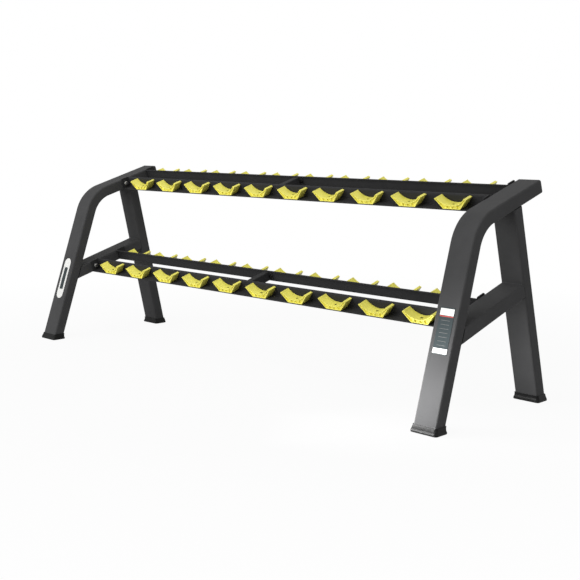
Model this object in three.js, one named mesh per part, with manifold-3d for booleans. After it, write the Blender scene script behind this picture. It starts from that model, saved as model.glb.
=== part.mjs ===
// Two-tier dumbbell rack: two A-shaped end frames of rectangular tube, joined by four formed
// steel rails that carry forty moulded saddle cradles.
// Millimetres. +X runs along the rack, +Y to the back, +Z up. The origin is on the floor,
// in the middle of the rack.

import * as THREE from 'three';
import { mergeVertices } from 'three/addons/utils/BufferGeometryUtils.js';
import Module from 'manifold-3d';

const wasm = await Module();
wasm.setup();

// ---------------------------------------------------------------- driving dimensions

const OVERALL_LENGTH = 2446; // over the boots of both end frames
const FOOT_SPREAD = 640; // between the leg centre lines at the floor
const ARM_END_HEIGHT = 843.5; // top corner of the upper arm's end
const ARM_END_INSET = 30.5; // that corner, in front of the rear leg's centre line at the floor
const SLOPE = 16.9; // both tiers rise to the back, degrees
const FRONT_LEAN = 18.2; // front leg leans back, degrees
const REAR_LEAN = 13.3; // rear leg leans forward, degrees
const BEND_RADIUS = 152; // centre line of the bent upright
const LOWER_ARM_HEIGHT = 460; // top of the cross arm where it meets the rear leg

const TUBE_WIDTH = 100;
const TUBE_DEPTH = 52;
const TUBE_WALL = 3;
const TUBE_CORNER = 8;

const BOOT_WALL = 3; // at the boot's mouth
const BOOT_FLARE = 4; // from the mouth out to the floor
const BOOT_WAIST_FLARE = 1.5; // what is left of it halfway up
const BOOT_HEIGHT = 26;
const BOOT_SOLE = 5;
const BOOT_LIP = 6; // upright edge at the floor
const BOOT_EDGE = 1; // bevel under the sole
const BOOT_CORNER = 10;
const BOOT_INSET = 4; // its footprint's middle, in from the leg's centre line at the floor

const CAP_THICKNESS = 3;
const CAP_EDGE = 1; // bevel around its face
const CAP_SKIRT = 16; // length pushed into the tube
const CAP_SKIRT_WALL = 2.5;

const RAIL_HEIGHT = 51;
const RAIL_SHEET = 4;
const RAIL_BEND = 2.5; // inside radius of the folds
const RAIL_LIP = 11; // top fold, over the sheet
const RAIL_EDGE = 1; // along the ledge's free edge
const RAIL_SPREAD = 130; // between the cradle faces of a tier's two rails
const UPPER_SETBACK = 61.5; // rear rail's cradle face, in front of the arm's end
const LOWER_SETBACK = 151; // the same, in front of the rear leg
const END_PLATE = 5;
const END_PLATE_RISE = 4; // above the rail's top
const END_PLATE_CORNER = 6;

const BRACE_WIDTH = 34;
const BRACE_HEIGHT = 38;
const BRACE_SHEET = 3;
const BRACE_BEND = 1; // inside radius of its folds
const BRACE_FLANGE_WIDTH = 66;
const BRACE_FLANGE = 4;
const BRACE_FLANGE_CORNER = 5;

const CRADLES_PER_RAIL = 10;
const CRADLE_END_MARGIN = 79; // from the end frame to the outermost tip
const CRADLE_WIDTH = 148.5; // tip to tip
const CRADLE_BASE_WIDTH = 78;
const CRADLE_HEIGHT = 44.5;
const CRADLE_DEPTH = 42;
const CRADLE_ROUND = 1.5;
const SADDLE_RADIUS = 85;
const SADDLE_FLOOR = 14.5; // material under the saddle's lowest line
const TIP_WIDTH = 10.5;
const TIP_DROP = 4.5; // the tip's end falls this much to the outside
const CRADLE_WALL = 3.2; // around the moulded pockets
const CRADLE_RIB = 4; // between the moulded pockets
const POCKET_DEPTH = 6;
const POCKET_WIDTH = 19; // each of the two pockets beside the middle rib
const SCREW_BORE = 6;

const CLEARANCE = 0.3; // between pieces that touch

const ARC_STEP = Math.PI / 6; // longest step around a rounded corner
const COARSE_ARC_STEP = Math.PI / 3; // the same, on small or repeated pieces
const BEND_STEPS = 10; // along the upright's bend
const SADDLE_STEPS = 10; // along a saddle's arc
const BORE_SIDES = 8;
const OVERCUT = 1; // how far a cutting shape runs past the face it opens

// ---------------------------------------------------------------- derived dimensions

const slope = THREE.MathUtils.degToRad(SLOPE);
const frontLean = THREE.MathUtils.degToRad(FRONT_LEAN);
const rearLean = THREE.MathUtils.degToRad(REAR_LEAN);
const innerCorner = Math.max(TUBE_CORNER - TUBE_WALL, 1);
const bootWidth = TUBE_WIDTH + 2 * (BOOT_WALL + BOOT_FLARE);
const frameX = (OVERALL_LENGTH - bootWidth) / 2;
const innerFaceX = frameX - TUBE_WIDTH / 2;
const railLength = 2 * (innerFaceX - CLEARANCE);
const ledgeDepth = CRADLE_DEPTH + CLEARANCE;
const cradlePitch =
  (2 * (innerFaceX - CRADLE_END_MARGIN) - CRADLE_WIDTH) / (CRADLES_PER_RAIL - 1);

// The end frame's side view: each point is (y, z).
const alongArm = new THREE.Vector2(Math.cos(slope), Math.sin(slope));
const alongFrontLeg = new THREE.Vector2(Math.sin(frontLean), Math.cos(frontLean));
const alongRearLeg = new THREE.Vector2(-Math.sin(rearLean), Math.cos(rearLean));
const frontFoot = new THREE.Vector2(-FOOT_SPREAD / 2, 0);
const rearFoot = new THREE.Vector2(FOOT_SPREAD / 2, 0);
const armEnd = new THREE.Vector2(rearFoot.x - ARM_END_INSET, ARM_END_HEIGHT);
const rearLegFront = step(rearFoot, leftOf(alongRearLeg), TUBE_DEPTH / 2);
const crossArmTop = step(
  rearLegFront, alongRearLeg, (LOWER_ARM_HEIGHT - rearLegFront.y) / alongRearLeg.y);

// ---------------------------------------------------------------- plane geometry

function step(point, direction, distance) {
  return point.clone().addScaledVector(direction, distance);
}

function leftOf(direction) {
  return new THREE.Vector2(-direction.y, direction.x);
}

function crossing(pointA, alongA, pointB, alongB) {
  const between = pointB.clone().sub(pointA);
  return step(pointA, alongA, between.cross(alongB) / alongA.cross(alongB));
}

// A closed outline from corners [x, y, radius], each rounded by an arc of that radius.
function roundedOutline(corners, arcStep = ARC_STEP) {
  const points = [];
  corners.forEach(([x, y, radius], index) => {
    const corner = new THREE.Vector2(x, y);
    if (!radius) {
      points.push(corner);
      return;
    }
    const before = corners[(index + corners.length - 1) % corners.length];
    const after = corners[(index + 1) % corners.length];
    const arriving = new THREE.Vector2(x - before[0], y - before[1]).normalize();
    const leaving = new THREE.Vector2(after[0] - x, after[1] - y).normalize();
    const turn = Math.atan2(arriving.cross(leaving), arriving.dot(leaving));
    const side = Math.sign(turn);
    const start = step(corner, arriving, -radius * Math.tan(Math.abs(turn) / 2));
    const centre = step(start, leftOf(arriving), side * radius);
    const arm = start.clone().sub(centre);
    const steps = Math.max(1, Math.ceil(Math.abs(turn) / arcStep));
    for (let i = 0; i <= steps; i += 1) {
      points.push(arm.clone().rotateAround(new THREE.Vector2(), (turn * i) / steps).add(centre));
    }
  });
  return points;
}

function rectangle(width, height, radius) {
  const x = width / 2;
  const y = height / 2;
  return [[-x, -y, radius], [x, -y, radius], [x, y, radius], [-x, y, radius]];
}

// ---------------------------------------------------------------- solids

const SIDE_VIEW = new THREE.Matrix4().makeBasis(
  new THREE.Vector3(0, 1, 0), new THREE.Vector3(0, 0, 1), new THREE.Vector3(1, 0, 0));
const FRONT_VIEW = new THREE.Matrix4().makeBasis(
  new THREE.Vector3(1, 0, 0), new THREE.Vector3(0, 0, 1), new THREE.Vector3(0, -1, 0));

function toSolid(geometry) {
  const bare = geometry.clone();
  bare.deleteAttribute('normal');
  bare.deleteAttribute('uv');
  const merged = mergeVertices(bare);
  return new wasm.Manifold(new wasm.Mesh({
    numProp: 3,
    vertProperties: new Float32Array(merged.attributes.position.array),
    triVerts: new Uint32Array(merged.index.array),
  }));
}

function toGeometry(solid) {
  const mesh = solid.getMesh();
  const geometry = new THREE.BufferGeometry();
  geometry.setAttribute('position', new THREE.BufferAttribute(mesh.vertProperties, mesh.numProp));
  geometry.setIndex(new THREE.BufferAttribute(mesh.triVerts, 1));
  geometry.computeVertexNormals();
  return geometry;
}

// An outline drawn in one of the views above, extruded from one depth to another.
function prism(outline, view, from, to, bevel = 0) {
  const geometry = new THREE.ExtrudeGeometry(new THREE.Shape(outline), {
    depth: to - from - 2 * bevel,
    bevelEnabled: bevel > 0,
    bevelThickness: bevel,
    bevelSize: bevel,
    bevelOffset: -bevel,
    bevelSegments: 2,
  });
  geometry.translate(0, 0, from + bevel);
  return toSolid(geometry.applyMatrix4(view));
}

// A block that fills the half plane to the left of a line in the side view.
function halfSpace(point, direction) {
  const reach = 2 * (FOOT_SPREAD + ARM_END_HEIGHT);
  const near = step(point, direction, -reach);
  const far = step(point, direction, reach);
  const away = leftOf(direction);
  const outline = [near, far, step(far, away, reach), step(near, away, reach)];
  return prism(outline, SIDE_VIEW, -reach, reach);
}

// Closed outlines of equal point count, each at its own place, joined by straight walls.
function loft(outlines, places) {
  const count = outlines[0].length;
  const positions = [];
  outlines.forEach((outline, level) => {
    outline.forEach((p) => {
      positions.push(p.x + places[level].x, p.y + places[level].y, places[level].z);
    });
  });
  const index = [];
  for (let level = 0; level + 1 < outlines.length; level += 1) {
    for (let i = 0; i < count; i += 1) {
      const a = level * count + i;
      const b = level * count + ((i + 1) % count);
      index.push(a, b, b + count, a, b + count, a + count);
    }
  }
  const top = (outlines.length - 1) * count;
  THREE.ShapeUtils.triangulateShape(outlines[0], []).forEach(([a, b, c]) => {
    index.push(a, c, b);
    index.push(top + a, top + b, top + c);
  });
  const geometry = new THREE.BufferGeometry();
  geometry.setAttribute('position', new THREE.Float32BufferAttribute(positions, 3));
  geometry.setIndex(index);
  return toSolid(geometry);
}

// ---------------------------------------------------------------- end frame

// Side view of the bent upright, at a distance either side of its centre line, running past
// both of its ends.
function bentOutline(halfDepth) {
  const runOut = TUBE_DEPTH;
  const armCentre = step(armEnd, leftOf(alongArm), -TUBE_DEPTH / 2);
  const knee = crossing(frontFoot, alongFrontLeg, armCentre, alongArm);
  const turn = Math.acos(alongFrontLeg.dot(alongArm));
  const bendStart = step(knee, alongFrontLeg, -BEND_RADIUS * Math.tan(turn / 2));
  const centre = step(bendStart, leftOf(alongFrontLeg), -BEND_RADIUS);
  const start = step(frontFoot, alongFrontLeg, -runOut);
  const end = step(armCentre, alongArm, runOut);
  const side = (offset) => {
    const points = [step(start, leftOf(alongFrontLeg), offset)];
    const arm = step(bendStart, leftOf(alongFrontLeg), offset).sub(centre);
    for (let i = 0; i <= BEND_STEPS; i += 1) {
      const angle = (-turn * i) / BEND_STEPS;
      points.push(arm.clone().rotateAround(new THREE.Vector2(), angle).add(centre));
    }
    points.push(step(end, leftOf(alongArm), offset));
    return points;
  };
  return [...side(-halfDepth), ...side(halfDepth).reverse()];
}

function bentUpright() {
  const halfWidth = TUBE_WIDTH / 2;
  const inside = halfWidth - TUBE_WALL;
  const outer = prism(
    bentOutline(TUBE_DEPTH / 2), SIDE_VIEW, -halfWidth, halfWidth, TUBE_CORNER);
  const inner = prism(
    bentOutline(TUBE_DEPTH / 2 - TUBE_WALL), SIDE_VIEW, -inside, inside, innerCorner);
  const armCut = step(armEnd, alongArm, -CAP_THICKNESS - CLEARANCE);
  return outer
    .subtract(inner)
    .subtract(belowSoleTop())
    .subtract(halfSpace(armCut, leftOf(alongArm).negate()));
}

function belowSoleTop() {
  return halfSpace(new THREE.Vector2(0, BOOT_SOLE + CLEARANCE), new THREE.Vector2(-1, 0));
}

// A straight bar of the tube's section, from one side-view point to another, grown by a margin.
function bar(from, to, width, depth, corner) {
  const length = from.distanceTo(to);
  const angle = Math.atan2(to.y - from.y, to.x - from.x);
  const section = roundedOutline(rectangle(width, depth, corner), COARSE_ARC_STEP);
  const alongY = new THREE.Matrix4().makeBasis(
    new THREE.Vector3(-1, 0, 0), new THREE.Vector3(0, 0, 1), new THREE.Vector3(0, 1, 0));
  const place = new THREE.Matrix4()
    .makeTranslation(0, from.x, from.y)
    .multiply(new THREE.Matrix4().makeRotationX(angle))
    .multiply(alongY);
  return prism(section, place, 0, length);
}

function straightTube(from, to) {
  const along = to.clone().sub(from).normalize();
  const outer = bar(from, to, TUBE_WIDTH, TUBE_DEPTH, TUBE_CORNER);
  const bore = bar(
    step(from, along, -OVERCUT), step(to, along, OVERCUT),
    TUBE_WIDTH - 2 * TUBE_WALL, TUBE_DEPTH - 2 * TUBE_WALL, innerCorner);
  return outer.subtract(bore);
}

function rearLeg() {
  const underArm = step(armEnd, leftOf(alongArm), -TUBE_DEPTH - CLEARANCE);
  const top = crossing(rearFoot, alongRearLeg, underArm, alongArm);
  return straightTube(
    step(rearFoot, alongRearLeg, -TUBE_DEPTH), step(top, alongRearLeg, TUBE_DEPTH))
    .subtract(belowSoleTop())
    .subtract(halfSpace(underArm, alongArm));
}

function crossArm() {
  const centre = step(crossArmTop, leftOf(alongArm), -TUBE_DEPTH / 2);
  const behindFrontLeg = step(
    frontFoot, leftOf(alongFrontLeg), -TUBE_DEPTH / 2 - CLEARANCE);
  const beforeRearLeg = step(rearLegFront, leftOf(alongRearLeg), CLEARANCE);
  const front = crossing(centre, alongArm, behindFrontLeg, alongFrontLeg);
  return straightTube(step(front, alongArm, -TUBE_DEPTH), step(centre, alongArm, TUBE_DEPTH))
    .subtract(halfSpace(behindFrontLeg, alongFrontLeg))
    .subtract(halfSpace(beforeRearLeg, alongRearLeg.clone().negate()));
}

// Flared boot. All four share one footprint, and each mouth and socket follow the leg's lean.
function boot(foot, along) {
  const lean = along.x / along.y;
  const legDepth = TUBE_DEPTH / Math.min(alongFrontLeg.y, alongRearLeg.y);
  const section = (margin) => roundedOutline(
    rectangle(TUBE_WIDTH + 2 * margin, legDepth + 2 * margin, BOOT_CORNER));
  const waist = (BOOT_LIP + BOOT_HEIGHT) / 2;
  const footprintY = foot.x - Math.sign(foot.x) * BOOT_INSET;
  const at = (height) => new THREE.Vector3(
    0, height < waist ? footprintY : foot.x + lean * height, height);
  const flaredMargin = BOOT_WALL + BOOT_FLARE;
  const body = loft(
    [section(flaredMargin - BOOT_EDGE), section(flaredMargin), section(flaredMargin),
      section(BOOT_WALL + BOOT_WAIST_FLARE), section(BOOT_WALL)],
    [at(0), at(BOOT_EDGE), at(BOOT_LIP), at(waist), at(BOOT_HEIGHT)]);
  const socketTop = step(foot, along, 2 * BOOT_HEIGHT);
  const socket = bar(
    step(foot, along, -TUBE_DEPTH), socketTop,
    TUBE_WIDTH + 2 * CLEARANCE, TUBE_DEPTH + 2 * CLEARANCE, TUBE_CORNER)
    .subtract(halfSpace(new THREE.Vector2(0, BOOT_SOLE), new THREE.Vector2(-1, 0)));
  return body.subtract(socket);
}

// Plug that closes the upper arm's end, drawn in the arm's frame with its outer face at y = 0.
function armEndCap() {
  const middle = -TUBE_DEPTH / 2;
  const skirtWidth = TUBE_WIDTH - 2 * (TUBE_WALL + CLEARANCE);
  const skirtHeight = TUBE_DEPTH - 2 * (TUBE_WALL + CLEARANCE);
  const outline = (width, height, corner) => roundedOutline(rectangle(width, height, corner))
    .map((p) => new THREE.Vector2(p.x, p.y + middle));
  const head = prism(
    outline(TUBE_WIDTH, TUBE_DEPTH, TUBE_CORNER), FRONT_VIEW, 0, CAP_THICKNESS, CAP_EDGE);
  const skirtEnd = CAP_THICKNESS + CAP_SKIRT;
  const skirt = prism(
    outline(skirtWidth, skirtHeight, innerCorner), FRONT_VIEW, CAP_THICKNESS / 2, skirtEnd);
  const hollow = prism(
    outline(skirtWidth - 2 * CAP_SKIRT_WALL, skirtHeight - 2 * CAP_SKIRT_WALL, 0),
    FRONT_VIEW, CAP_THICKNESS, skirtEnd + OVERCUT);
  return head.add(skirt).subtract(hollow);
}

// ---------------------------------------------------------------- rails and braces

// Rail folded from sheet: a web with its cradle face at y = 0, a ledge to +y under the cradles
// and a lip to -y along the top. Plates across the ends bolt to the end frames.
function rail() {
  const foldOut = RAIL_BEND + RAIL_SHEET;
  const half = railLength / 2;
  const section = roundedOutline([
    [-RAIL_LIP, 0, 0],
    [-RAIL_LIP, -RAIL_SHEET, 0],
    [-RAIL_SHEET, -RAIL_SHEET, RAIL_BEND],
    [-RAIL_SHEET, -RAIL_HEIGHT, foldOut],
    [ledgeDepth, -RAIL_HEIGHT, RAIL_EDGE],
    [ledgeDepth, RAIL_SHEET - RAIL_HEIGHT, RAIL_EDGE],
    [0, RAIL_SHEET - RAIL_HEIGHT, RAIL_BEND],
    [0, 0, foldOut],
  ]);
  const plateOutline = roundedOutline([
    [-RAIL_SHEET, -RAIL_HEIGHT, foldOut],
    [ledgeDepth, -RAIL_HEIGHT, END_PLATE_CORNER],
    [ledgeDepth, END_PLATE_RISE, END_PLATE_CORNER],
    [-RAIL_SHEET, END_PLATE_RISE, END_PLATE_CORNER],
  ]);
  return prism(section, SIDE_VIEW, -half, half)
    .add(prism(plateOutline, SIDE_VIEW, -half, END_PLATE - half))
    .add(prism(plateOutline, SIDE_VIEW, half - END_PLATE, half));
}

// Channel between the two webs of a tier, centred on y = 0, with a bolted flange at each end.
function centreBrace() {
  const half = RAIL_SPREAD / 2 - RAIL_SHEET - CLEARANCE;
  const top = -RAIL_SHEET - CLEARANCE;
  const flangeTop = top - RAIL_BEND;
  const bottom = top - BRACE_HEIGHT;
  const x = BRACE_WIDTH / 2;
  const inside = x - BRACE_SHEET;
  const foldOut = BRACE_SHEET + BRACE_BEND;
  const channel = roundedOutline([
    [-x, bottom, 0], [-inside, bottom, 0], [-inside, top - BRACE_SHEET, BRACE_BEND],
    [inside, top - BRACE_SHEET, BRACE_BEND], [inside, bottom, 0], [x, bottom, 0],
    [x, top, foldOut], [-x, top, foldOut],
  ]);
  const flange = roundedOutline(
    rectangle(BRACE_FLANGE_WIDTH, flangeTop - bottom, BRACE_FLANGE_CORNER))
    .map((p) => new THREE.Vector2(p.x, p.y + (flangeTop + bottom) / 2));
  const channelEnd = half - BRACE_FLANGE / 2;
  return prism(channel, FRONT_VIEW, -channelEnd, channelEnd)
    .add(prism(flange, FRONT_VIEW, -half, BRACE_FLANGE - half))
    .add(prism(flange, FRONT_VIEW, half - BRACE_FLANGE, half));
}

// ---------------------------------------------------------------- cradle

// Height of the saddle's arc above the cradle's base, grown by a wall towards the base.
function saddleHeight(x, wall = 0) {
  const radius = SADDLE_RADIUS + wall;
  return SADDLE_FLOOR + SADDLE_RADIUS - Math.sqrt(radius * radius - x * x);
}

function saddlePoints(from, to, steps, wall = 0) {
  return Array.from({ length: steps + 1 }, (_, i) => {
    const x = from + ((to - from) * i) / steps;
    return [x, saddleHeight(x, wall), 0];
  });
}

function cradleOutline() {
  const base = CRADLE_BASE_WIDTH / 2;
  const tip = CRADLE_WIDTH / 2;
  const tipFoot = CRADLE_HEIGHT - TIP_DROP;
  const saddleEnd = tip - TIP_WIDTH;
  return roundedOutline([
    [-base, 0, CRADLE_ROUND],
    [base, 0, CRADLE_ROUND],
    [tip, tipFoot, CRADLE_ROUND],
    [saddleEnd, CRADLE_HEIGHT, CRADLE_ROUND],
    ...saddlePoints(saddleEnd - CRADLE_ROUND, CRADLE_ROUND - saddleEnd, SADDLE_STEPS),
    [-saddleEnd, CRADLE_HEIGHT, CRADLE_ROUND],
    [-tip, tipFoot, CRADLE_ROUND],
  ], COARSE_ARC_STEP);
}

// The moulded pockets of one half of the outer face: one by the middle, one up the wing.
function pocketOutlines() {
  const base = CRADLE_BASE_WIDTH / 2;
  const tip = CRADLE_WIDTH / 2;
  const wing = new THREE.Vector2(tip - base, CRADLE_HEIGHT - TIP_DROP).normalize();
  const inWing = step(new THREE.Vector2(base, 0), leftOf(wing), CRADLE_WALL);
  const floorLine = new THREE.Vector2(0, CRADLE_WALL);
  const wingFoot = crossing(inWing, wing, floorLine, new THREE.Vector2(1, 0));
  const middleStart = CRADLE_RIB / 2;
  const middleEnd = middleStart + POCKET_WIDTH;
  const wingStart = middleEnd + CRADLE_RIB;
  const wingEnd = tip - TIP_WIDTH - CRADLE_WALL;
  const underTip = new THREE.Vector2(0, CRADLE_HEIGHT - TIP_DROP - CRADLE_WALL);
  const wingTop = crossing(inWing, wing, underTip, new THREE.Vector2(1, 0));
  return [
    [
      [middleStart, CRADLE_WALL, 0], [middleEnd, CRADLE_WALL, 0],
      ...saddlePoints(middleEnd, middleStart, 2, CRADLE_WALL),
    ],
    [
      [wingStart, CRADLE_WALL, 0], [wingFoot.x, wingFoot.y, 0], [wingTop.x, wingTop.y, 0],
      ...saddlePoints(wingEnd, wingStart, 3, CRADLE_WALL),
    ],
  ];
}

// Saddle cradle: outer face at y = 0, back face at y = depth, base at z = 0. Its lower back
// edge is cut away over the rail's fold.
function cradle() {
  let body = prism(cradleOutline(), FRONT_VIEW, -CRADLE_DEPTH, 0);
  pocketOutlines().forEach((corners) => {
    const right = roundedOutline(corners);
    const left = right.map((p) => new THREE.Vector2(-p.x, p.y)).reverse();
    body = body
      .subtract(prism(right, FRONT_VIEW, -POCKET_DEPTH, OVERCUT))
      .subtract(prism(left, FRONT_VIEW, -POCKET_DEPTH, OVERCUT));
  });
  const bore = new THREE.CylinderGeometry(
    SCREW_BORE / 2, SCREW_BORE / 2, 2 * CRADLE_HEIGHT, BORE_SIDES);
  bore.rotateX(Math.PI / 2);
  bore.translate(0, CRADLE_DEPTH / 2, 0);
  const reliefStart = CRADLE_DEPTH - RAIL_BEND;
  const foldRelief = prism([
    new THREE.Vector2(reliefStart - OVERCUT, -OVERCUT),
    new THREE.Vector2(CRADLE_DEPTH + OVERCUT, -OVERCUT),
    new THREE.Vector2(CRADLE_DEPTH + OVERCUT, RAIL_BEND + OVERCUT),
  ], SIDE_VIEW, -CRADLE_WIDTH, CRADLE_WIDTH);
  return body.subtract(toSolid(bore)).subtract(foldRelief);
}

// ---------------------------------------------------------------- the rack

const frameMaterial = new THREE.MeshStandardMaterial({
  color: 0x3c3c3e, roughness: 0.45, metalness: 0.3, name: 'charcoal powder coat' });
const cradleMaterial = new THREE.MeshStandardMaterial({
  color: 0xe9d92a, roughness: 0.5, metalness: 0, name: 'yellow plastic' });
const rubberMaterial = new THREE.MeshStandardMaterial({
  color: 0x161616, roughness: 0.8, metalness: 0, name: 'black rubber' });
const capMaterial = new THREE.MeshStandardMaterial({
  color: 0x1c1c1d, roughness: 0.6, metalness: 0, name: 'black plastic' });

function piece(name, geometry, material) {
  const mesh = new THREE.Mesh(geometry, material);
  mesh.name = name;
  return mesh;
}

function endFrames() {
  const uprightGeometry = toGeometry(bentUpright());
  const legGeometry = toGeometry(rearLeg());
  const armGeometry = toGeometry(crossArm());
  const frontBootGeometry = toGeometry(boot(frontFoot, alongFrontLeg));
  const rearBootGeometry = toGeometry(boot(rearFoot, alongRearLeg));
  const capGeometry = toGeometry(armEndCap());
  return [['left', -frameX], ['right', frameX]].map(([side, x]) => {
    const frame = new THREE.Group();
    const cap = piece(`arm_end_cap_${side}`, capGeometry, capMaterial);
    cap.position.set(0, armEnd.x, armEnd.y);
    cap.rotation.x = slope;
    frame.add(
      piece(`bent_upright_${side}`, uprightGeometry, frameMaterial),
      piece(`rear_leg_${side}`, legGeometry, frameMaterial),
      piece(`cross_arm_${side}`, armGeometry, frameMaterial),
      piece(`boot_front_${side}`, frontBootGeometry, rubberMaterial),
      piece(`boot_rear_${side}`, rearBootGeometry, rubberMaterial),
      cap);
    frame.position.x = x;
    return frame;
  });
}

// One rail with its row of cradles, in the rail's own frame.
function railRow(name, railGeometry, cradleGeometry) {
  const row = new THREE.Group();
  row.add(piece(`rail_${name}`, railGeometry, frameMaterial));
  for (let i = 0; i < CRADLES_PER_RAIL; i += 1) {
    const number = String(i + 1).padStart(2, '0');
    const saddle = piece(`cradle_${name}_${number}`, cradleGeometry, cradleMaterial);
    const x = (i - (CRADLES_PER_RAIL - 1) / 2) * cradlePitch;
    saddle.position.set(x, ledgeDepth, RAIL_SHEET + CLEARANCE - RAIL_HEIGHT);
    saddle.rotation.z = Math.PI;
    row.add(saddle);
  }
  return row;
}

// A tier in the frame of its arms: y up the slope from the given corner, z square to it.
function tier(name, corner, setback, geometries) {
  const group = new THREE.Group();
  const rearRow = railRow(`${name}_rear`, geometries.rail, geometries.cradle);
  rearRow.position.y = -setback;
  const frontRow = railRow(`${name}_front`, geometries.rail, geometries.cradle);
  frontRow.position.y = -setback - RAIL_SPREAD;
  frontRow.rotation.z = Math.PI;
  const brace = piece(`centre_brace_${name}`, geometries.brace, frameMaterial);
  brace.position.y = -setback - RAIL_SPREAD / 2;
  group.add(rearRow, frontRow, brace);
  group.position.set(0, corner.x, corner.y);
  group.rotation.x = slope;
  return group;
}

function rack() {
  const geometries = {
    rail: toGeometry(rail()),
    cradle: toGeometry(cradle()),
    brace: toGeometry(centreBrace()),
  };
  const group = new THREE.Group();
  group.name = 'dumbbell_rack';
  group.add(
    ...endFrames(),
    tier('upper', armEnd, UPPER_SETBACK, geometries),
    tier('lower', crossArmTop, LOWER_SETBACK, geometries));
  return group;
}

export default rack();
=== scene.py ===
"""Two-tier dumbbell rack: folded steel rails on two bent tube end frames, with moulded cradles.

Metres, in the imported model's frame: +X runs along the rack, +Y to the back, +Z up.
"""

import math

import bmesh
import bpy
from bmesh.types import BMEdge, BMFace, BMVert
from bpy.props import FloatProperty, FloatVectorProperty, IntProperty, PointerProperty
from mathutils import Matrix, Vector
from mathutils.geometry import intersect_line_line


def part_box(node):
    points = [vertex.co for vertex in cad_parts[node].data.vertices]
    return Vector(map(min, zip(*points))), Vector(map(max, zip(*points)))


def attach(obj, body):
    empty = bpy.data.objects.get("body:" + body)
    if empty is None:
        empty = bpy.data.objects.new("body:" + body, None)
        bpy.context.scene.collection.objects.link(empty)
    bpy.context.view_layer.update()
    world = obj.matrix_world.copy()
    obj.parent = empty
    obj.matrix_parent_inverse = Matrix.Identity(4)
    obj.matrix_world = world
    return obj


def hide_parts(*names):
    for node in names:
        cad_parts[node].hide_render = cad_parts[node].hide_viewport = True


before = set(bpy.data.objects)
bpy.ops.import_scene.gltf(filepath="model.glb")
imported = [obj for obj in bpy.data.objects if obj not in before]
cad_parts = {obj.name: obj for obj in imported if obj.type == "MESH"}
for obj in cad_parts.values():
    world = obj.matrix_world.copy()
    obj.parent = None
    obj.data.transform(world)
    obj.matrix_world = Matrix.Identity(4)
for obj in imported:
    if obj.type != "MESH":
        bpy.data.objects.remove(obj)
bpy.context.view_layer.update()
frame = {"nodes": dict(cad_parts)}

bl_info = {
    "name": "Dumbbell rack",
    "version": (1, 0, 0),
    "blender": (4, 5, 0),
    "location": "3D View > Sidebar > Rack",
    "description": "Builds a two-tier dumbbell rack piece by piece around its packed model",
    "category": "Add Mesh",
}

SIDES = ("left", "right")
TIERS = ("upper", "lower")
ROWS = ("upper_rear", "upper_front", "lower_rear", "lower_front")
CLEARANCE = 0.0003  # between parts that touch
AXIS_X = Vector((1, 0, 0))
AXIS_Y = Vector((0, 1, 0))
SHARP = math.radians(40)
QUARTER = math.pi / 2
SAME_PLACE = 1e-7
NEAR = 1e-5
SAME_TURN = 0.01
RUN_SHARE = 0.9  # an edge runs one way if this much of its length does
CORNER_STEPS = 6
FOLD_STEPS = 5
ARC_STEPS = 28
shift = Matrix.Translation


def rotate(turn, axis):
    return Matrix.Rotation(turn, 4, axis)


def span(node):
    """Size of a CAD node's box."""
    low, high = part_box(node)
    return high - low


def middle(node):
    """Centre of a CAD node's box."""
    low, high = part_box(node)
    return (low + high) / 2


# ---- sizes and colours


def length(name, default, description):
    return FloatProperty(name=name, default=default, description=description, unit="LENGTH", min=0)


def angle(name, degrees, description):
    return FloatProperty(name=name, default=math.radians(degrees), description=description,
                         unit="ROTATION", subtype="ANGLE")


def colour(name, default, description):
    return FloatVectorProperty(name=name, default=default, description=description,
                               subtype="COLOR", size=3, min=0, max=1)


class RackFrameSizes(bpy.types.PropertyGroup):
    """Sizes of the two end frames."""
    tube_width: length("Tube width", span("bent_upright_left").x, "Across the rack")
    tube_depth: length("Tube depth", 0.052, "Across the tube in the side view")
    tube_wall: length("Tube wall", 0.003, "Thickness of the tube's wall")
    tube_corner: length("Tube corner", 0.008, "Outside radius of the tube's corners")
    slope: angle("Slope", 16.9, "Rise of both tiers to the back")
    front_lean: angle("Front lean", 18.2, "Front leg leans back")
    rear_lean: angle("Rear lean", 13.3, "Rear leg leans forward")
    bend_radius: length("Bend radius", 0.152, "Centre line of the bent upright")
    foot_spread: length("Foot spread", 0.640, "Between the legs' centre lines at the floor")
    arm_end_height: length("Arm end height", 0.8435, "Top corner of the upper arm's end")
    arm_end_inset: length("Arm end inset", 0.0305, "That corner, in front of the rear foot")
    lower_arm_height: length("Lower arm height", 0.460, "Top of the cross arm at the rear leg")
    weld: length("Weld", 0.0028, "Radius of the fillet welds")


class RackBootSizes(bpy.types.PropertyGroup):
    """Sizes of the boots and the arm end caps."""
    height: length("Height", span("boot_front_left").z, "Floor to the boot's mouth")
    wall: length("Wall", 0.003, "Thickness at the mouth")
    flare: length("Flare", 0.004, "From the mouth out to the floor")
    lip: length("Lip", 0.006, "Upright edge at the floor")
    edge: length("Edge", 0.001, "Bevel under the sole")
    sole: length("Sole", 0.005, "Thickness under the leg")
    corner: length("Corner", 0.010, "Radius of the boot's corners")
    inset: length("Inset", 0.004, "The footprint's middle, in from the leg's centre line")
    cap: length("Cap", 0.003, "Thickness of the arm end cap's head")
    cap_skirt: length("Cap skirt", 0.016, "Depth of the cap's skirt in the tube")


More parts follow.
